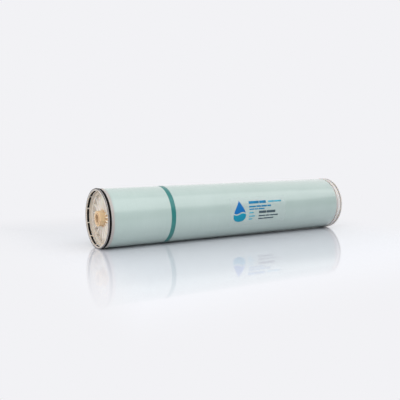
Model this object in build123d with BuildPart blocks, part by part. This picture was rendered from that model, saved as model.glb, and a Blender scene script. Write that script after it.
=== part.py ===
"""Spiral-wound nanofiltration membrane element, 201 mm across and 1016 mm long.

Millimetres. The element stands on its brine end: +Z runs along its axis from the brine end at
z = 0 to the feed end at z = 1016. Depths into an end cap are measured from that cap's own face.
"""
from build123d import *
import os
from math import cos, radians, sin

os.makedirs("parts", exist_ok=True)

# The whole element
element_length = 1016.0
flange_radius = 100.5
wrap_radius = 99.6
roll_radius = 96.5

# How far a cut runs past the faces that it opens
overcut = 1.0

# Permeate tube: reamed sockets at both ends take the O-rings of an interconnector
tube_radius = 19.05
tube_bore_radius = 13.9
socket_radius = 14.29
socket_depth = 64.0
lead_in_width = 1.2
lead_in_depth = 1.5
perforation_radius = 2.0
perforation_stations = 3
perforation_pitch = 236.0

# End cap: depths from its face
front_flange_thickness = 3.2
groove_end = 11.5
land_end = 21.5
wheel_depth = 20.0
cap_height = 34.0
rim_inner_radius = 94.0
groove_floor_radius = 96.0
wheel_rim_radius = 85.0

# Windows through the groove floor, parted by short bridges
window_count = 12
bridge_width = 3.6
bridge_angle = 15.5

# Hub collar with its ring of cored cells, and the ribs that carry it
collar_radius = 26.0
collar_depth = 2.6
cell_circle_radius = 22.6
cell_width = 3.0
cell_length = 3.2
cell_depth = 14.0
rib_count = 18
rib_thickness = 2.2
rib_root = 1.0

# Brine seal: a cup that opens towards the feed, with a lip that tapers to its edge
seal_front = 3.5
seal_back = 11.4
cup_floor_depth = 8.4
cup_floor_radius = 98.2
lip_radius = 101.6
heel_radius = 100.4

# Rolled pack: leaves and feed spacers alternate and fill the ring between tube and wrap
leaf_count = 5
wound_angle = 360.0
spiral_chords = 14

# Outside of the roll: the wrap, and on it the tape band and the label film
wrap_start = 28.0
wrap_end = element_length - land_end
tape_start = 768.8
tape_width = 17.0
tape_thickness = 0.2
label_start = 291.0
label_length = 255.0
label_centre_angle = -89.7
label_span_angle = 62.6
label_thickness = 0.15

element_axis = Axis.Z
brine_face = Plane.XY
feed_face = Plane(origin=(0, 0, element_length), x_dir=(1, 0, 0), z_dir=(0, 0, -1))


def section_plane(face):
    """The plane that holds a half section: x is the radius, y the depth below the face."""
    return Plane(origin=face.origin, x_dir=face.x_dir, z_dir=-face.y_dir)


def finish(solid, label):
    """Labels a finished piece and writes it to its own file."""
    solid.label = label
    export_step(solid, f"parts/{label}.step")


def make_end_cap(face, label):
    """One moulding: seal-groove rim, recessed wheel of ribs and a cored hub collar."""
    section = section_plane(face)
    turning_axis = Axis(face.origin, face.z_dir)
    with BuildPart() as end_cap:
        # Ribs from the collar to the wheel's rim, rooted a little way into both
        rib_length = wheel_rim_radius - collar_radius + 2 * rib_root
        with BuildSketch(face.offset(wheel_depth)):
            with PolarLocations((collar_radius + wheel_rim_radius) / 2, rib_count):
                Rectangle(rib_length, rib_thickness)
        extrude(amount=cap_height - wheel_depth)

        # Rim: front flange, seal groove, land, and the skirt that the wrap grips
        with BuildSketch(section):
            with BuildLine():
                Polyline(
                    (rim_inner_radius, 0),
                    (flange_radius, 0),
                    (flange_radius, front_flange_thickness),
                    (groove_floor_radius, front_flange_thickness),
                    (groove_floor_radius, groove_end),
                    (flange_radius, groove_end),
                    (flange_radius, land_end),
                    (roll_radius, land_end),
                    (roll_radius, cap_height),
                    (wheel_rim_radius, cap_height),
                    (wheel_rim_radius, wheel_depth),
                    (rim_inner_radius, wheel_depth),
                    close=True,
                )
            make_face()
        revolve(axis=turning_axis)

        # Hub collar round the permeate tube
        with BuildSketch(face.offset(collar_depth)):
            Circle(collar_radius)
        extrude(amount=cap_height - collar_depth)
        with BuildSketch(face):
            Circle(tube_radius)
        extrude(amount=cap_height, mode=Mode.SUBTRACT)
        with BuildSketch(face.offset(collar_depth)):
            with PolarLocations(cell_circle_radius, rib_count, start_angle=180 / rib_count):
                Rectangle(cell_width, cell_length)
        extrude(amount=cell_depth, mode=Mode.SUBTRACT)

        # Windows through the floor of the seal groove, which leave the bridges standing
        groove_wall = groove_floor_radius - rim_inner_radius
        with BuildSketch(face.offset(front_flange_thickness)):
            Circle(groove_floor_radius + overcut)
            Circle(rim_inner_radius - overcut, mode=Mode.SUBTRACT)
            with PolarLocations(rim_inner_radius + groove_wall / 2, window_count, start_angle=bridge_angle):
                Rectangle(groove_wall + 4 * overcut, bridge_width, mode=Mode.SUBTRACT)
        extrude(amount=groove_end - front_flange_thickness, mode=Mode.SUBTRACT)
    finish(end_cap.part, label)


make_end_cap(feed_face, "feed_end_cap")
make_end_cap(brine_face, "brine_end_cap")

# Brine seal: one rubber ring in the feed cap's groove
with BuildPart() as brine_seal:
    with BuildSketch(section_plane(feed_face)):
        with BuildLine():
            Polyline(
                (groove_floor_radius, seal_front),
                (cup_floor_radius, cup_floor_depth),
                (lip_radius, seal_front),
                (heel_radius, seal_back),
                (groove_floor_radius, seal_back),
                close=True,
            )
        make_face()
    revolve(axis=element_axis)
finish(brine_seal.part, "brine_seal")

# Permeate tube: turned outside, reamed at both ends, drilled through in crossed directions
with BuildPart() as permeate_tube:
    with BuildSketch(section_plane(brine_face)):
        with BuildLine():
            Polyline(
                (tube_radius, 0),
                (tube_radius, element_length),
                (socket_radius + lead_in_width, element_length),
                (socket_radius, element_length - lead_in_depth),
                (socket_radius, element_length - socket_depth),
                (tube_bore_radius, element_length - socket_depth),
                (tube_bore_radius, socket_depth),
                (socket_radius, socket_depth),
                (socket_radius, lead_in_depth),
                (socket_radius + lead_in_width, 0),
                close=True,
            )
        make_face()
    revolve(axis=element_axis)
    for station in range(perforation_stations):
        offset_from_middle = (station - (perforation_stations - 1) / 2) * perforation_pitch
        height = element_length / 2 + offset_from_middle
        drill_direction = (1, 0, 0) if station % 2 else (0, 1, 0)
        with BuildSketch(Plane(origin=(0, 0, height), z_dir=drill_direction)):
            Circle(perforation_radius)
        extrude(amount=tube_radius + overcut, both=True, mode=Mode.SUBTRACT)
finish(permeate_tube.part, "permeate_tube")


def spiral_point(turned, face_angle):
    """A point of the spiral that leaves the tube at face_angle and grows evenly to the wrap."""
    radius = tube_radius + (roll_radius - tube_radius) * turned / wound_angle
    direction = radians(face_angle + turned)
    return (radius * cos(direction), radius * sin(direction))


def make_rolled_sheet(start_angle, label):
    """One sheet of the roll: its two faces are the same spiral, a sheet's share apart."""
    sheet_angle = 360 / (2 * leaf_count)
    with BuildPart() as sheet:
        with BuildSketch(Plane.XY.offset(cap_height)):
            with BuildLine():
                for face_angle in (start_angle, start_angle + sheet_angle):
                    Polyline(*[spiral_point(turned, face_angle) for turned in turned_angles])
                CenterArc((0, 0), tube_radius, start_angle, sheet_angle)
                CenterArc((0, 0), roll_radius, start_angle + wound_angle, sheet_angle)
            make_face()
        extrude(amount=element_length - 2 * cap_height)
    finish(sheet.part, label)


# Straight chords are near enough to the spiral for turns that stay hidden inside the wrap
turned_angles = [wound_angle * chord / spiral_chords for chord in range(spiral_chords + 1)]
for leaf in range(leaf_count):
    leaf_angle = 360 / leaf_count
    make_rolled_sheet(leaf * leaf_angle, f"membrane_leaf_{leaf + 1:02d}")
    make_rolled_sheet((leaf + 0.5) * leaf_angle, f"feed_spacer_{leaf + 1:02d}")

# Filament-wound wrap: holds the roll and the skirts of both caps
with BuildPart() as fibreglass_wrap:
    with BuildSketch(Plane.XY.offset(wrap_start)):
        Circle(wrap_radius)
        Circle(roll_radius, mode=Mode.SUBTRACT)
    extrude(amount=wrap_end - wrap_start)
finish(fibreglass_wrap.part, "fibreglass_wrap")

# Tape band round the wrap, near the feed end
with BuildPart() as tape_band:
    with BuildSketch(Plane.XY.offset(tape_start)):
        Circle(wrap_radius + tape_thickness)
        Circle(wrap_radius, mode=Mode.SUBTRACT)
    extrude(amount=tape_width)
finish(tape_band.part, "tape_band")

# Label film on the wrap's front
with BuildPart() as label_film:
    with BuildSketch(Plane.XY.offset(label_start)):
        with BuildLine():
            first_angle = label_centre_angle - label_span_angle / 2
            inner_arc = CenterArc((0, 0), wrap_radius, first_angle, label_span_angle)
            outer_arc = CenterArc((0, 0), wrap_radius + label_thickness, first_angle, label_span_angle)
            Line(inner_arc @ 0, outer_arc @ 0)
            Line(inner_arc @ 1, outer_arc @ 1)
        make_face()
    extrude(amount=label_length)
finish(label_film.part, "label_film")
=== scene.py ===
# %% [markdown]
# # A spiral-wound membrane element, lying on a white table
#
# The element is a roll of membrane on a perforated tube, held by a fibreglass wrap, with a ribbed
# end cap at each end and a rubber seal round the feed end. Its solids come from CAD. Here they get
# their finishes, and the wrap, tape, label print and rolled sheets get finer surfaces.

import math

import bpy
import numpy as np
from mathutils import Matrix, Vector


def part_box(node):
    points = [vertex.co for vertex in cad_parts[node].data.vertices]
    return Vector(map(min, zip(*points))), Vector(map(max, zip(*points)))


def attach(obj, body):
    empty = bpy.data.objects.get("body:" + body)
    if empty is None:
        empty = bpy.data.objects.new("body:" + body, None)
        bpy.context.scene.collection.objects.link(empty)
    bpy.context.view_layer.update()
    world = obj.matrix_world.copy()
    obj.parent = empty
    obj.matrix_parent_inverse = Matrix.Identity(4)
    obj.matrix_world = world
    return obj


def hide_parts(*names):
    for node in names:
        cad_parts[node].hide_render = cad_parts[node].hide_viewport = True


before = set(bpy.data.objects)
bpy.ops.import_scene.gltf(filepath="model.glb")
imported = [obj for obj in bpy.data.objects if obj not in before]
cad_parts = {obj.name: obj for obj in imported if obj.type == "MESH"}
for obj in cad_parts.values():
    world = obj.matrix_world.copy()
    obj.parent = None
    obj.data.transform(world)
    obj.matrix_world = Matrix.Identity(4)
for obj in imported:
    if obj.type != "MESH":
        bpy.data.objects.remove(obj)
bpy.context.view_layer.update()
print("CAD nodes:", sorted(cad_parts))

# %% [markdown]
# ## Measurements
#
# Every size starts from the boxes of the CAD nodes, in metres. The element stands along +Z from its
# brine end to its feed end. In the photograph it lies down, so +X is up there and -Y faces the
# camera.

# %% Read the main sizes
millimetre = 0.001
element_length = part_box("permeate_tube")[1].z
flange_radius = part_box("brine_end_cap")[1].x
wrap_low, wrap_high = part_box("fibreglass_wrap")
wrap_radius = wrap_high.x
tube_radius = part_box("permeate_tube")[1].x
leaf_nodes = sorted(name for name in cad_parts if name.startswith("membrane_leaf"))
spacer_nodes = sorted(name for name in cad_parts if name.startswith("feed_spacer"))
sheet_boxes = [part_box(name) for name in leaf_nodes + spacer_nodes]
roll_radius = max(-low.x for low, high in sheet_boxes)
roll_low, roll_high = sheet_boxes[0][0].z, sheet_boxes[0][1].z
print("length", round(element_length, 4), "wrap radius", round(wrap_radius, 5))
print("roll radius", round(roll_radius, 5), "from", round(roll_low, 4), "to", round(roll_high, 4))

# %% [markdown]
# ## Camera
#
# The camera looks down on the table by a few degrees and along the element from its feed end. Its
# place was worked out from the outlines of both rims and of the wrap. Turning the camera, and not
# the element, keeps the model in its own frame: the camera's upward direction leans towards +X.

# %% Place the camera
camera_place = Vector((0.2610, -1.9058, 1.7887))
camera_target = Vector((0.0417, 0.0, 0.6126))
table_up = Vector((1.0, 0.0, 0.0))

camera_data = bpy.data.cameras.new("camera")
camera_data.lens = 55.401
camera_data.sensor_width = 36.0
camera = bpy.data.objects.new("camera", camera_data)
bpy.context.scene.collection.objects.link(camera)
bpy.context.scene.camera = camera

camera_forward = (camera_target - camera_place).normalized()
camera_right = camera_forward.cross(table_up).normalized()
camera_up = camera_right.cross(camera_forward)
camera_turn = Matrix((camera_right, camera_up, -camera_forward)).transposed()
camera.matrix_world = Matrix.Translation(camera_place) @ camera_turn.to_4x4()
print("camera distance", round((camera_target - camera_place).length, 3))


# %% [markdown]
# ## Small helpers
#
# A finish is a small graph of nodes. One helper turns an sRGB hex value to linear light, one starts
# an empty material and one adds a node with its settings and links. The others are short names
# for steps that the finishes repeat: how far a value has come along a range, a sum, a blend, a pair
# of tones for a pattern, the scale of a band and the closing shader. The last gives CAD nodes their
# finish.

# %% Colours and shader nodes
def linear(hex_colour):
    """Turns an sRGB hex value to linear RGBA: c / 12.92 up to 0.04045, and above it
    ((c + 0.055) / 1.055) ^ 2.4."""
    srgb = np.array([int(hex_colour[i : i + 2], 16) / 255 for i in (1, 3, 5)])
    light = np.where(srgb <= 0.04045, srgb / 12.92, ((srgb + 0.055) / 1.055) ** 2.4)
    return (*light.tolist(), 1.0)


def start_material(name):
    """An empty node tree with its output, ready for nodes."""
    material = bpy.data.materials.new(name)
    material.use_nodes = True
    material.node_tree.nodes.clear()
    output = material.node_tree.nodes.new("ShaderNodeOutputMaterial")
    return material, material.node_tree, output


def add_node(tree, kind, inputs=None, **settings):
    """Adds one shader node. Inputs are socket values, or other nodes' sockets to link from."""
    node = tree.nodes.new(kind)
    for name, value in settings.items():
        setattr(node, name, value)
    for name, value in (inputs or {}).items():
        if isinstance(value, bpy.types.NodeSocket):
            tree.links.new(value, node.inputs[name])
        else:
            node.inputs[name].default_value = value
    return node


def share_between(tree, value, start, end, low=0.0, high=1.0, curve="LINEAR"):
    """How far a value has come from start to end, as a number from low to high."""
    sockets = {"Value": value, "From Min": start, "From Max": end, "To Min": low, "To Max": high}
    node = add_node(tree, "ShaderNodeMapRange", sockets, interpolation_type=curve)
    return node.outputs[0]


def calculate(tree, operation, first, second):
    """One sum, product or maximum of two values."""
    return add_node(tree, "ShaderNodeMath", {0: first, 1: second}, operation=operation).outputs[0]


def mix_values(tree, share, first, second):
    """A blend of two numbers: first at share 0, second at share 1. The Mix node has sockets of its
    own for each kind of value, told apart by their numbers."""
    sockets = {0: share, 2: first, 3: second}
    return add_node(tree, "ShaderNodeMix", sockets, data_type="FLOAT").outputs[0]


def mix_colours(tree, share, first, second):
    """A blend of two colours: first at share 0, second at share 1."""
    sockets = {0: share, 6: first, 7: second}
    return add_node(tree, "ShaderNodeMix", sockets, data_type="RGBA").outputs[2]


def mix_shaders(tree, share, first, second):
    """A blend of two shaders: first at share 0, second at share 1."""
    return add_node(tree, "ShaderNodeMixShader", {0: share, 1: first, 2: second}).outputs[0]


def two_tones(tree, value, low_hex, high_hex, low_at=0.0, high_at=1.0):
    """Colours a pattern: the low tone up to low_at, the high tone from high_at, a blend between."""
    ramp = add_node(tree, "ShaderNodeValToRGB", {"Fac": value})
    low, high = ramp.color_ramp.elements
    low.position, low.color = low_at, linear(low_hex)
    high.position, high.color = high_at, linear(high_hex)
    return ramp.outputs[0]


def band_scale(pitch):
    """The Wave node's scale for bands a pitch apart: at scale 1 it repeats every 2 pi / 20."""
    return 2 * math.pi / (20 * pitch)


def close_material(tree, output, inputs):
    """Ends a finish with one Principled shader."""
    shader = add_node(tree, "ShaderNodeBsdfPrincipled", inputs)
    tree.links.new(shader.outputs[0], output.inputs["Surface"])


def dress(node_names, material):
    """Gives CAD nodes one finish."""
    for node_name in node_names:
        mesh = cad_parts[node_name].data
        mesh.materials.clear()
        mesh.materials.append(material)
    print(material.name, "on", len(node_names), "CAD nodes")


# %% [markdown]
# ## Grids
#
# A surface here is a grid of points, worked out as whole arrays. Two parameters run over the grid,
# and its corners carry a UV map in metres, so that a pattern on it has its real size.

# %% A mesh from a grid
sharp_angle = math.radians(35)


def grid_mesh(name, points, uv, material, wrap_rows=False, wrap_columns=False, closed_ends=False):
    """Joins a rows x columns grid of points into quads. A wrapped direction also joins its last
    line to its first. uv has one more line in each wrapped direction, so the seam gets its own
    values. Closed ends join the first half of the first and last row to the second, mirrored."""
    rows, columns = points.shape[:2]
    row, column = np.meshgrid(
        np.arange(rows if wrap_rows else rows - 1),
        np.arange(columns if wrap_columns else columns - 1),
        indexing="ij",
    )
    corner_rows = np.stack([row, row, row + 1, row + 1], -1).reshape(-1, 4)
    corner_columns = np.stack([column, column + 1, column + 1, column], -1).reshape(-1, 4)
    if closed_ends:
        near = np.arange(columns // 2 - 1)
        end = np.stack([near, near + 1, columns - 2 - near, columns - 1 - near], -1)
        corner_rows = np.vstack([corner_rows, 0 * end, 0 * end + rows - 1])
        corner_columns = np.vstack([corner_columns, end[:, ::-1], end])
    quads = (corner_rows % rows) * columns + corner_columns % columns
    mesh = bpy.data.meshes.new(name)
    mesh.from_pydata(points.reshape(-1, 3), [], quads)
    layer = mesh.uv_layers.new(name="UVMap")
    corner_uv = uv[corner_rows, corner_columns].reshape(-1)
    layer.data.foreach_set("uv", corner_uv.astype(np.float32))
    mesh.shade_smooth()
    mesh.set_sharp_from_angle(angle=sharp_angle)
    mesh.materials.append(material)
    piece = bpy.data.objects.new(name, mesh)
    bpy.context.scene.collection.objects.link(piece)
    print(name, "has", len(mesh.polygons), "faces")
    return piece


def revolve(name, profile, segments, material):
    """Turns a closed profile about Z: x = r cos a, y = r sin a. The profile runs up its outer side,
    so that faces point outwards. UV is (a times the largest radius, distance along the profile)."""
    profile = np.asarray(profile, float)
    angles = np.linspace(0, 2 * np.pi, segments, endpoint=False)
    radius, height = profile[:, :1], profile[:, 1:]
    points = np.stack(
        [radius * np.cos(angles), radius * np.sin(angles), height + 0 * angles], -1
    )
    steps = np.linalg.norm(np.roll(profile, -1, axis=0) - profile, axis=1)
    along = np.concatenate([[0], np.cumsum(steps)])
    around = np.linspace(0, 2 * np.pi, segments + 1) * profile[:, 0].max()
    uv = np.stack(np.meshgrid(around, along), -1)
    return grid_mesh(name, points, uv, material, wrap_rows=True, wrap_columns=True)


def rounded_ring(inner, outer, low, high, rounding, steps=5):
    """Closed profile of a ring whose outer edges are quarter circles: out by r sin t and up by
    r (1 - cos t) at the low edge, and the mirror image at the high one."""
    turn = np.linspace(0, np.pi / 2, steps)
    reach, rise = rounding * np.sin(turn), rounding * np.cos(turn)
    low_edge = np.stack([outer - rounding + reach, low + rounding - rise], -1)
    high_edge = np.stack([outer - rounding + rise, high - rounding + reach], -1)
    return np.vstack([low_edge, high_edge, [[inner, high], [inner, low]]])


# %% [markdown]
# ## Table
#
# The element lies on white acrylic, cast and polished, whose gloss mirrors the element and keeps a
# soft shadow under it. A plane is all that it needs. Away from the element the camera sees it turn
# slowly into the plain white of the background, so no horizon shows, yet lamps and mirrors still
# meet acrylic everywhere. Only its upper side is solid to the eye, so the element can also be
# looked at from beneath.

# %% Table
background_white = linear("#f2f2f5")
# Metres from the element's middle between which the acrylic turns into the background
fade_along_start, fade_along_end = 0.46, 0.88
fade_across_start, fade_across_end = 0.32, 1.05

# Polished acrylic: a pale body under a smooth face, which mirrors most at a low angle.
table_material, tree, output = start_material("glossy_white_acrylic")
acrylic = add_node(
    tree,
    "ShaderNodeBsdfPrincipled",
    {"Base Color": linear("#d0d2d8"), "Roughness": 0.03, "IOR": 1.65},
)
place = add_node(tree, "ShaderNodeTexCoord")
centred = add_node(
    tree,
    "ShaderNodeMapping",
    {"Vector": place.outputs["Object"], "Location": (0.0, 0.0, -element_length / 2)},
)
either_way = add_node(
    tree, "ShaderNodeVectorMath", {0: centred.outputs[0]}, operation="ABSOLUTE"
)
away = add_node(tree, "ShaderNodeSeparateXYZ", {"Vector": either_way.outputs[0]})
fade_along = share_between(
    tree, away.outputs["Z"], fade_along_start, fade_along_end, curve="SMOOTHERSTEP"
)
fade_across = share_between(
    tree, away.outputs["Y"], fade_across_start, fade_across_end, curve="SMOOTHERSTEP"
)
fade = calculate(tree, "MAXIMUM", fade_along, fade_across)
plain_white = add_node(
    tree, "ShaderNodeEmission", {"Color": background_white, "Strength": 1.0}
)
light_path = add_node(tree, "ShaderNodeLightPath")
seen_fade = calculate(tree, "MULTIPLY", fade, light_path.outputs["Is Camera Ray"])
upper_side = mix_shaders(tree, seen_fade, acrylic.outputs[0], plain_white.outputs[0])
see_through = add_node(tree, "ShaderNodeBsdfTransparent")
geometry = add_node(tree, "ShaderNodeNewGeometry")
either_side = mix_shaders(
    tree, geometry.outputs["Backfacing"], upper_side, see_through.outputs[0]
)
tree.links.new(either_side, output.inputs["Surface"])

table_reach = 9.0
table_across, table_along = np.meshgrid([-table_reach, table_reach], [-table_reach, table_reach])
table_points = np.stack([0 * table_across - flange_radius, table_across, table_along], -1)
table_uv = np.stack(np.meshgrid([0.0, 1.0], [0.0, 1.0]), -1)
table = grid_mesh("table", table_points, table_uv, table_material)

# %% [markdown]
# ## Background
#
# A studio has a white paper sweep behind the object, pale walls and a dark space round the camera.
# The world plays all three. The camera itself sees plain white. Gloss mirrors the white sweep
# behind and the dark space in front, which gives the wrap its line of shade. What lights the scene
# is a broad soft glow, stronger in front and right behind the element than above it.

# %% Background
# The world sees a ray by its direction, whose parts along any axis run from -1 to 1
glow_direction = (0.10, -0.99, 0.0)
glow_from, glow_to = -0.6, 0.9
dim_glow, front_glow = 0.30, 0.95
sweep_from, sweep_to = 0.1, 0.9
sweep_glow = 0.9
mirrored_dark_to, mirrored_white_from = -0.45, 0.15

world = bpy.data.worlds.new("background")
bpy.context.scene.world = world
world.use_nodes = True
world.node_tree.nodes.clear()
tree = world.node_tree
seen = add_node(tree, "ShaderNodeBackground", {"Color": background_white, "Strength": 1.0})
direction = add_node(tree, "ShaderNodeTexCoord")
direction_parts = add_node(
    tree, "ShaderNodeSeparateXYZ", {"Vector": direction.outputs["Generated"]}
)
backwards = direction_parts.outputs["Y"]
towards_front = add_node(
    tree,
    "ShaderNodeVectorMath",
    {0: direction.outputs["Generated"], 1: glow_direction},
    operation="DOT_PRODUCT",
)
glow = share_between(
    tree, towards_front.outputs["Value"], glow_from, glow_to, dim_glow, front_glow
)
sweep = share_between(tree, backwards, sweep_from, sweep_to, 0.0, sweep_glow)
lighting = add_node(
    tree,
    "ShaderNodeBackground",
    {"Color": linear("#f6f7fa"), "Strength": calculate(tree, "ADD", glow, sweep)},
)
towards_sweep = share_between(
    tree, backwards, mirrored_dark_to, mirrored_white_from, curve="SMOOTHSTEP"
)
studio_tone = mix_colours(tree, towards_sweep, linear("#545558"), linear("#ffffff"))
mirrored = add_node(tree, "ShaderNodeBackground", {"Color": studio_tone, "Strength": 1.0})
light_path = add_node(tree, "ShaderNodeLightPath")
mirror_ray = calculate(
    tree,
    "MAXIMUM",
    light_path.outputs["Is Glossy Ray"],
    light_path.outputs["Is Transmission Ray"],
)
lit_or_mirrored = mix_shaders(tree, mirror_ray, lighting.outputs[0], mirrored.outputs[0])
background = mix_shaders(
    tree, light_path.outputs["Is Camera Ray"], lit_or_mirrored, seen.outputs[0]
)
add_node(tree, "ShaderNodeOutputWorld", {"Surface": background})
bpy.context.scene.view_settings.view_transform = "Standard"
print("glow", front_glow, "in front and", round(dim_glow + sweep_glow, 2), "behind")

# %% [markdown]
# ## Light
#
# A long soft box hangs over the table in front of the element. Its mirror image is the soft line
# that runs along the wrap a little above its middle. It reaches well past the brine end, because
# the camera sees the element at a slant, and with a shorter lamp the line would fade at that end. A
# smaller soft box beyond the feed end lights the recess of the cap.


# %% Soft boxes
def soft_box(name, place, target, width, depth, power):
    """A rectangular lamp at place that faces target. Its width lies along the element."""
    lamp_data = bpy.data.lights.new(name, "AREA")
    lamp_data.shape = "RECTANGLE"
    lamp_data.size = width
    lamp_data.size_y = depth
    lamp_data.energy = power
    lamp = bpy.data.objects.new(name, lamp_data)
    bpy.context.scene.collection.objects.link(lamp)
    back = (Vector(place) - Vector(target)).normalized()
    side = Vector((0.0, 0.0, 1.0))
    side = (side - side.dot(back) * back).normalized()
    turn = Matrix((side, back.cross(side), back)).transposed()
    lamp.matrix_world = Matrix.Translation(place) @ turn.to_4x4()
    print(name, power, "W")


soft_box(
    "overhead_soft_box",
    place=(1.25, -1.35, -0.2),
    target=(0.0, -1.35, -0.2),
    width=5.0,
    depth=2.1,
    power=44.0,
)
soft_box(
    "feed_end_fill",
    place=(0.45, -0.7, 3.0),
    target=(0.0, 0.0, element_length),
    width=1.2,
    depth=1.2,
    power=29.0,
)

# %% [markdown]
# ## Wrap: filament-wound glass and epoxy
#
# The wrap is glass roving, wet with resin and wound round the roll, so its surface has fine hoops
# with a little lead, streaks where a bundle lies thicker, and a gloss from the cured resin. A
# revolved profile with rounded ends is enough for its form, and the hoops are a pattern on its UV
# map, where U runs round the wrap and V along it. A texture that didn't know the winding direction
# would look like paint.

# %% Wrap material
hoop_pitch = 4.0 * millimetre
streaks_per_metre = (4.0, 320.0, 1.0)
clouds_per_metre = 9.0
hoop_share, cloud_share = 0.45, 0.35

# Wound glass in epoxy: a green-grey body with fine hoops, and a clear coat of smooth resin.
wrap_material, tree, output = start_material("filament_wound_glass_epoxy")
place = add_node(tree, "ShaderNodeUVMap")
# One lead of the pitch per turn makes the hoops a helix that meets itself at the seam.
lead_angle = hoop_pitch / (2 * math.pi * wrap_radius)
winding = add_node(
    tree,
    "ShaderNodeMapping",
    {"Vector": place.outputs[0], "Rotation": (0.0, 0.0, -math.atan(lead_angle))},
)
hoops = add_node(
    tree,
    "ShaderNodeTexWave",
    {
        "Vector": winding.outputs[0],
        "Scale": band_scale(hoop_pitch),
        "Distortion": 1.2,
        "Detail": 2.0,
        "Detail Scale": 0.6,
    },
    bands_direction="Y",
)
streak_place = add_node(
    tree, "ShaderNodeMapping", {"Vector": winding.outputs[0], "Scale": streaks_per_metre}
)
streaks = add_node(
    tree,
    "ShaderNodeTexNoise",
    {"Vector": streak_place.outputs[0], "Scale": 1.0, "Detail": 4.0, "Roughness": 0.6},
)
clouds = add_node(
    tree,
    "ShaderNodeTexNoise",
    {"Vector": place.outputs[0], "Scale": clouds_per_metre, "Detail": 3.0},
)
fibres = mix_values(tree, hoop_share, streaks.outputs[0], hoops.outputs["Fac"])
tone = mix_values(tree, cloud_share, fibres, clouds.outputs[0])
ridges = add_node(
    tree,
    "ShaderNodeBump",
    {"Height": fibres, "Strength": 0.35, "Distance": 0.15 * millimetre},
)
close_material(
    tree,
    output,
    {
        "Base Color": two_tones(tree, tone, "#9dafa9", "#abbbb6", 0.30, 0.70),
        "Roughness": 0.34,
        "IOR": 1.55,
        "Normal": ridges.outputs[0],
        "Coat Weight": 1.0,
        "Coat Roughness": 0.16,
    },
)
print("hoops every", hoop_pitch / millimetre, "mm")

# %% [markdown]
# The wrap's form is a thin tube. A cut edge of fibreglass is sanded smooth, so its profile has a
# small quarter circle at each outer edge. A Screw modifier could turn the profile about the axis,
# but it would leave the UV map to be made by hand. Here one function makes both.

# %% Wrap surface
ring_segments = 360
wrap_edge_rounding = 0.8 * millimetre

wrap_profile = rounded_ring(
    roll_radius, wrap_radius, wrap_low.z, wrap_high.z, wrap_edge_rounding
)
wrap_piece = revolve("wound_wrap", wrap_profile, ring_segments, wrap_material)
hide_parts("fibreglass_wrap")
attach(wrap_piece, "root")

# %% [markdown]
# ## Tape band
#
# A band of teal tape marks the element near its feed end. It is thin, so a plain ring just above
# the wrap will do, with the faint creases of stretched plastic tape.

# %% Tape
tape_edge_rounding = 0.1 * millimetre
creases_per_metre = 60.0

# Plastic tape: one teal with faint clouds, a soft gloss and shallow creases.
tape_material, tree, output = start_material("teal_plastic_tape")
place = add_node(tree, "ShaderNodeUVMap")
creases = add_node(
    tree,
    "ShaderNodeTexNoise",
    {
        "Vector": place.outputs[0],
        "Scale": creases_per_metre,
        "Detail": 3.0,
        "Distortion": 0.4,
    },
)
relief = add_node(
    tree,
    "ShaderNodeBump",
    {"Height": creases.outputs[0], "Strength": 0.25, "Distance": 0.1 * millimetre},
)
close_material(
    tree,
    output,
    {
        "Base Color": two_tones(tree, creases.outputs[0], "#1b6663", "#2f7d79"),
        "Roughness": 0.3,
        "Normal": relief.outputs[0],
    },
)

tape_low, tape_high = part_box("tape_band")
tape_profile = rounded_ring(
    wrap_radius, tape_high.x, tape_low.z, tape_high.z, tape_edge_rounding, steps=3
)
tape = revolve("teal_tape", tape_profile, ring_segments, tape_material)
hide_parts("tape_band")
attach(tape, "root")

# %% [markdown]
# ## End caps: moulded cream plastic
#
# The caps are injection-moulded in a cream plastic that lets a little light through, with a satin
# surface. All their forms are in the CAD, so they only need a finish. Its tone follows the distance
# from the axis, because the zones of the cap are rings:
#
# - the hub is moulded round the tan tube and takes its colour
# - the wheel is plain cream, with painted shade that darkens it towards the recess's wall
# - the groove, the land and the flange are greyer, with painted light that makes them a little
#   paler on the brine cap
# - the feed flange has a thin dark line of painted shade along its outer corner

# %% End cap material
hub_tan_radius, hub_cream_radius = 26 * millimetre, 33 * millimetre
recess_shade_from_radius, recess_shade_full_radius = 66 * millimetre, 88 * millimetre
grey_rings_from_radius, grey_rings_full_radius = 94.5 * millimetre, 96.2 * millimetre
edge_shade_from_radius, edge_shade_full_radius = 97.8 * millimetre, 98.6 * millimetre
edge_shade_inset, edge_shade_blur = 0.8 * millimetre, 0.4 * millimetre
tone_clouds_per_metre, grains_per_metre = 45.0, 900.0

# Moulded cream plastic: light seeps a few millimetres in, so thin ribs glow and edges stay soft.
cap_material, tree, output = start_material("injection_moulded_cream_plastic")
place = add_node(tree, "ShaderNodeTexCoord")
flat = add_node(
    tree, "ShaderNodeMapping", {"Vector": place.outputs["Object"], "Scale": (1.0, 1.0, 0.0)}
)
distance = add_node(tree, "ShaderNodeVectorMath", {0: flat.outputs[0]}, operation="LENGTH")
from_axis = distance.outputs["Value"]
along_axis = add_node(tree, "ShaderNodeSeparateXYZ", {"Vector": place.outputs["Object"]})
up_element = along_axis.outputs["Z"]

cloudy = add_node(
    tree,
    "ShaderNodeTexNoise",
    {"Vector": place.outputs["Object"], "Scale": tone_clouds_per_metre, "Detail": 3.0},
)
cream = two_tones(tree, cloudy.outputs[0], "#e3ddd4", "#ece7df", 0.35, 0.65)
# Painted shade: the wheel darkens towards the recess's wall, where the rim shades it.
painted_recess_shade_share = share_between(tree, from_axis, recess_shade_from_radius, recess_shade_full_radius)
moulded = mix_colours(tree, painted_recess_shade_share, cream, linear("#c6bdb1"))
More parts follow.
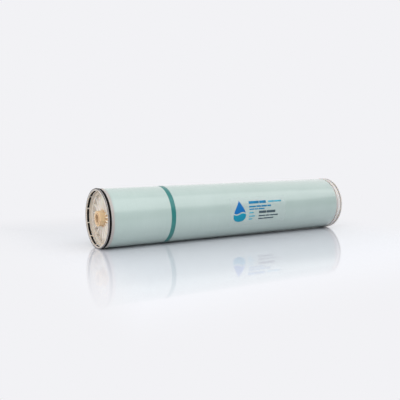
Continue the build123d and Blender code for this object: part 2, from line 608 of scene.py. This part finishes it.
# Painted light: the grey rings are paler towards the brine end, in place of light falling there.
# The element is about a metre long, so its height in metres also serves as the blend's share.
grey_tone_with_painted_light = mix_colours(tree, up_element, linear("#cbc7c3"), linear("#aba5a1"))
grey_rings_share = share_between(tree, from_axis, grey_rings_from_radius, grey_rings_full_radius)
cap_tone_painted_light = mix_colours(tree, grey_rings_share, moulded, grey_tone_with_painted_light)
# Painted shade: a thin dark line on the feed flange's outer corner, where the edge turns from the
# light.
painted_edge_shade_radius_share = share_between(tree, from_axis, edge_shade_from_radius, edge_shade_full_radius)
painted_edge_shade_height_share = share_between(
    tree, up_element, element_length - edge_shade_inset - edge_shade_blur, element_length - edge_shade_inset
)
painted_edge_shade_share = calculate(tree, "MULTIPLY", painted_edge_shade_radius_share, painted_edge_shade_height_share)
with_painted_edge_shade = mix_colours(tree, painted_edge_shade_share, cap_tone_painted_light, linear("#3b3838"))
hub_share = share_between(
    tree, from_axis, hub_cream_radius, hub_tan_radius, curve="SMOOTHSTEP"
)
grain = add_node(
    tree,
    "ShaderNodeTexNoise",
    {"Vector": place.outputs["Object"], "Scale": grains_per_metre, "Detail": 2.0},
)
relief = add_node(
    tree,
    "ShaderNodeBump",
    {"Height": grain.outputs[0], "Strength": 0.12, "Distance": 0.1 * millimetre},
)
close_material(
    tree,
    output,
    {
        "Base Color": mix_colours(tree, hub_share, with_painted_edge_shade, linear("#dabd95")),
        "Roughness": 0.38,
        "Subsurface Weight": 0.25,
        "Subsurface Radius": (4 * millimetre, 3 * millimetre, 2 * millimetre),
        "Subsurface Scale": 1.0,
        "Normal": relief.outputs[0],
    },
)
dress(["feed_end_cap", "brine_end_cap"], cap_material)

# %% [markdown]
# ## Permeate tube: extruded tan plastic
#
# The tube is extruded and its ends are reamed, which leaves fine marks round the bore. It keeps its
# CAD form. A noise pattern squeezed along Z makes rings, which are cheaper than cut marks and read
# the same at this size.

# %% Tube material
marks_per_metre = 50.0
squeeze = (1.0, 1.0, 40.0)

# Extruded plastic: satin, with rings of a slightly deeper tan.
tube_material, tree, output = start_material("extruded_tan_plastic")
place = add_node(tree, "ShaderNodeTexCoord")
turning_place = add_node(
    tree, "ShaderNodeMapping", {"Vector": place.outputs["Object"], "Scale": squeeze}
)
turning = add_node(
    tree,
    "ShaderNodeTexNoise",
    {"Vector": turning_place.outputs[0], "Scale": marks_per_metre, "Detail": 3.0},
)
close_material(
    tree,
    output,
    {
        "Base Color": two_tones(tree, turning.outputs[0], "#bb9a76", "#dabd98"),
        "Roughness": 0.42,
    },
)
dress(["permeate_tube"], tube_material)

# %% [markdown]
# ## Brine seal: moulded black rubber
#
# The seal is a soft ring that stops the feed water from passing round the element. Its cup and lip
# are in the CAD, so it needs a finish alone. Rubber differs from black paint by its dull, faintly
# cloudy bloom, which a noise between two near blacks gives.

# %% Seal material
bloom_per_metre = 130.0

# Moulded rubber: nearly black and dull, so that it stays dark under the soft box.
rubber_material, tree, output = start_material("moulded_black_rubber")
place = add_node(tree, "ShaderNodeTexCoord")
bloom = add_node(
    tree,
    "ShaderNodeTexNoise",
    {"Vector": place.outputs["Object"], "Scale": bloom_per_metre, "Detail": 4.0},
)
close_material(
    tree,
    output,
    {
        "Base Color": two_tones(tree, bloom.outputs[0], "#040304", "#0b0a09"),
        "Roughness": 0.7,
        "Specular IOR Level": 0.12,
    },
)
dress(["brine_seal"], rubber_material)

# %% [markdown]
# ## Rolled sheets
#
# The roll is membrane leaves with netting between them, wound on the tube. Only its ends show,
# between the ribs: white membrane on its polyester backing, and the greyer netting. The CAD sheets
# are wound in straight chords, which is enough inside the wrap. Here each sheet is a smooth spiral,
# because the ends are open to view, and fine layers across it stand in for the many thin turns of a
# real roll.

# %% Rolled sheet materials
sheet_share = 2 * math.pi / len(sheet_boxes)
sheet_thickness = (roll_radius - tube_radius) / len(sheet_boxes)
layers_per_sheet = 3


def rolled_sheet_material(name, pale_hex, dark_hex):
    """A dull sheet with fine layers: bands along V, which runs across it, a layer apart."""
    material, tree, output = start_material(name)
    place = add_node(tree, "ShaderNodeUVMap")
    layers = add_node(
        tree,
        "ShaderNodeTexWave",
        {
            "Vector": place.outputs[0],
            "Scale": band_scale(sheet_thickness / layers_per_sheet),
            "Distortion": 0.4,
        },
        bands_direction="Y",
    )
    colour = two_tones(tree, layers.outputs["Fac"], dark_hex, pale_hex)
    close_material(tree, output, {"Base Color": colour, "Roughness": 0.6})
    return material


print("layers every", round(sheet_thickness / layers_per_sheet / millimetre, 2), "mm")

# %% [markdown]
# In the real roll every sheet leaves the tube and winds outwards until the wrap holds it. So here a
# sheet is one face swept along a spiral, and its other face is the same spiral turned by the
# sheet's share of the circle. All ten come from one function, each turned on from the one before.

# %% Rolled sheets
steps_per_turn = 120
arc_steps = 7


def wound_sheet(node_name, start_angle, material):
    """One sheet of the roll. Its radius grows evenly from tube to wrap over one turn, and its two
    faces are the same spiral, a sheet's share of the turn apart. Rows run along the spiral, columns
    round the section: over the high end from one face to the other, and back over the low end. UV
    is (roughly the way along the spiral, the way across the sheet)."""
    turned = np.linspace(0, 2 * np.pi, steps_per_turn + 1)[:, None]
    share = np.linspace(1, 0, arc_steps)
    share = np.concatenate([share, share[::-1]])[None, :]
    height = np.repeat([roll_high, roll_low], arc_steps)[None, :]
    radius = tube_radius + (roll_radius - tube_radius) * turned / (2 * np.pi)
    angle = start_angle + turned + sheet_share * share
    points = np.stack([radius * np.cos(angle), radius * np.sin(angle), height + 0 * angle], -1)
    along = radius * turned / 2
    across = np.append(share, share[:, :1])[None, :] * sheet_thickness
    uv = np.stack([along + 0 * across, across + 0 * along], -1)
    sheet = grid_mesh(
        "wound_" + node_name, points, uv, material, wrap_columns=True, closed_ends=True
    )
    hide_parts(node_name)
    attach(sheet, "root")
    return sheet


leaf_material = rolled_sheet_material("cast_membrane_on_polyester", "#f6f4f2", "#e6e2de")
spacer_material = rolled_sheet_material("extruded_spacer_netting", "#f0eeec", "#d9d6d2")
for index, (leaf_node, spacer_node) in enumerate(zip(leaf_nodes, spacer_nodes)):
    leaf = wound_sheet(leaf_node, 2 * index * sheet_share, leaf_material)
    spacer = wound_sheet(spacer_node, (2 * index + 1) * sheet_share, spacer_material)

# %% [markdown]
# ## Label
#
# A clear film is stuck on the wrap and printed in blues and greys. Its form is in the CAD. It lets
# the wrap show through, so it is nearly all see-through, and a faint pale sheen is what shows where
# it lies.

# %% Label film
# Clear film: a faint pale sheen over the wrap.
film_material, tree, output = start_material("clear_polyester_film")
close_material(
    tree, output, {"Base Color": linear("#dfe6e8"), "Roughness": 0.2, "Alpha": 0.10}
)
dress(["label_film"], film_material)

film_low, film_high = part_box("label_film")
print("film from", round(film_low.z, 4), "to", round(film_high.z, 4))


# %% [markdown]
# The print could be an image on the film. Here each printed shape is a thin patch of ink that
# follows the wrap, because ink as real geometry keeps its sharp edge at any distance. A patch is a
# grid of points laid out flat in millimetres, bent round the wrap and thickened by Solidify.

# %% Printed patches
# The film is 0.15 mm thick, and the ink starts just above it
ink_radius = wrap_radius + 0.17 * millimetre
ink_thickness = 0.04 * millimetre


def screen_ink(name, hex_colour):
    """Screen ink in one colour, matt enough to keep that colour under the soft box."""
    material, tree, output = start_material(name)
    close_material(
        tree,
        output,
        {"Base Color": linear(hex_colour), "Roughness": 0.5, "Specular IOR Level": 0.25},
    )
    return material


def on_wrap(across, above):
    """Places label points in millimetres on the wrap: across runs from the film's feed edge towards
    the brine end, above runs up from its middle. The angle is above / radius from the front."""
    angle = above * millimetre / ink_radius
    return np.stack(
        [
            ink_radius * np.sin(angle),
            -ink_radius * np.cos(angle),
            film_high.z - across * millimetre + 0 * angle,
        ],
        -1,
    )


def printed_patches(name, across, above, material):
    """Makes one piece of several patches, each a rows x columns grid of label points."""
    patches, rows, columns = across.shape
    first = np.arange(patches)[:, None, None] * rows * columns
    row, column = np.meshgrid(np.arange(rows - 1), np.arange(columns - 1), indexing="ij")
    corner = first + row * columns + column
    quads = np.stack([corner, corner + 1, corner + columns + 1, corner + columns], -1)
    mesh = bpy.data.meshes.new(name)
    mesh.from_pydata(on_wrap(across, above).reshape(-1, 3), [], quads.reshape(-1, 4))
    mesh.shade_smooth()
    mesh.materials.append(material)
    piece = bpy.data.objects.new(name, mesh)
    bpy.context.scene.collection.objects.link(piece)
    skin = piece.modifiers.new("ink_thickness", "SOLIDIFY")
    skin.thickness = ink_thickness
    skin.offset = 1.0
    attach(piece, "root")
    print(name, "has", patches, "patches")


# %% [markdown]
# The print is a plain design. Its rows are bars in a heading, a column of keys and a column of
# values, and all bars of a colour are one piece. A bar could be a box, but it would stand off the
# round wrap, so each is split into strips that bend with it.

# %% Rows of bars
bar_gap = 2.2
strips_per_bar = 4


def printed_bars(name, bars, material):
    """Bars given as start, end, foot and top, each split into strips round the wrap."""
    start, end, foot, top = np.vstack(bars).T[:, :, None, None]
    share_up = np.linspace(0, 1, strips_per_bar + 1)[None, :, None]
    share_along = np.linspace(0, 1, 2)[None, None, :]
    across = start + (end - start) * share_along + 0 * share_up
    above = foot + (top - foot) * share_up + 0 * share_along
    printed_patches(name, across, above, material)


def bar_row(start, foot, height, widths):
    """A row of bars one after another, a gap apart, given in millimetres."""
    widths = np.asarray(widths, float)
    starts = start + np.concatenate([[0], np.cumsum(widths[:-1] + bar_gap)])
    return np.stack([starts, starts + widths, foot + 0 * widths, foot + height + 0 * widths], -1)


# Where the columns start, in millimetres from the film's feed edge
heading_start, key_start, value_start, note_start = 84, 84, 128, 174
printed_bars(
    "label_heading",
    [
        bar_row(heading_start, 28, 10.0, [46, 31]),
        bar_row(heading_start, 14.5, 6.0, [30, 21, 26, 17]),
        bar_row(heading_start, 5.5, 4.6, [22, 15, 28]),
    ],
    screen_ink("blue_screen_ink", "#1274a0"),
)
printed_bars(
    "label_keys",
    [
        bar_row(note_start, 30, 6.0, [27, 32]),
        bar_row(key_start, -7, 4.4, [19]),
        bar_row(key_start, -20, 4.4, [26]),
        bar_row(key_start, -31, 4.4, [15]),
    ],
    screen_ink("pale_blue_screen_ink", "#3f9bb4"),
)
printed_bars(
    "label_values",
    [
        bar_row(value_start, -9, 9.0, [33, 41]),
        bar_row(value_start, -21, 4.8, [31, 17, 38]),
        bar_row(value_start, -32, 4.8, [22, 46]),
    ],
    screen_ink("grey_screen_ink", "#3f5058"),
)

# %% [markdown]
# Beside the bars is a water drop in two blues, parted by a wavy gap. It could be drawn as a curve
# and cut in two. Here its outline is a formula, and each blue fills it between two wavy lines, so
# both share one outline and the gap is equally high everywhere.

# %% Water drop
drop_middle, drop_foot, drop_height, drop_width = 42.0, -37.0, 80.0, 62.0
drop_sharpness, drop_slimness = 1.6, 0.778
narrowest_share = 0.01
# The gap's edges and the swing of its waves, as shares of the drop's height
gap_low, gap_high, gap_swing = 0.36, 0.42, 0.045
drop_columns, drop_rows = 33, 25


def drop_half_width(share_up):
    """Half the drop's width where share_up is 0 at its foot and 1 at its tip. With the angle t from
    the tip, cos t = 2 share - 1, the width goes with sin t times sin(t / 2) to the sharpness, over
    the slimness, which makes the drop 55 mm wide at its widest. It never closes to a point."""
    t = np.arccos(np.clip(2 * share_up - 1, -1, 1))
    outline = np.sin(t) * np.sin(t / 2) ** drop_sharpness / drop_slimness
    return 0.5 * drop_width * np.maximum(outline, narrowest_share)


def drop_band(name, low_edge, high_edge, material):
    """The part of the drop between two edges, given as shares of its height across its width."""
    side = np.linspace(-1, 1, drop_columns)[None, :]
    share = np.linspace(0, 1, drop_rows)[:, None]
    low, high = low_edge(side), high_edge(side)
    up = low + (high - low) * share
    across = drop_middle + side * drop_half_width(up)
    above = drop_foot + drop_height * up
    printed_patches(name, across[None], above[None], material)


def wave(height, swing):
    """A wavy line across the drop: height + swing * sin(pi * side)."""
    return lambda side: height + swing * np.sin(np.pi * side)


drop_band(
    "label_drop_top",
    wave(gap_high, gap_swing),
    wave(1.0, 0.0),
    screen_ink("deep_blue_ink", "#0064a4"),
)
drop_band(
    "label_drop_foot",
    wave(0.0, 0.0),
    wave(gap_low, gap_swing),
    screen_ink("teal_ink", "#0585a0"),
)
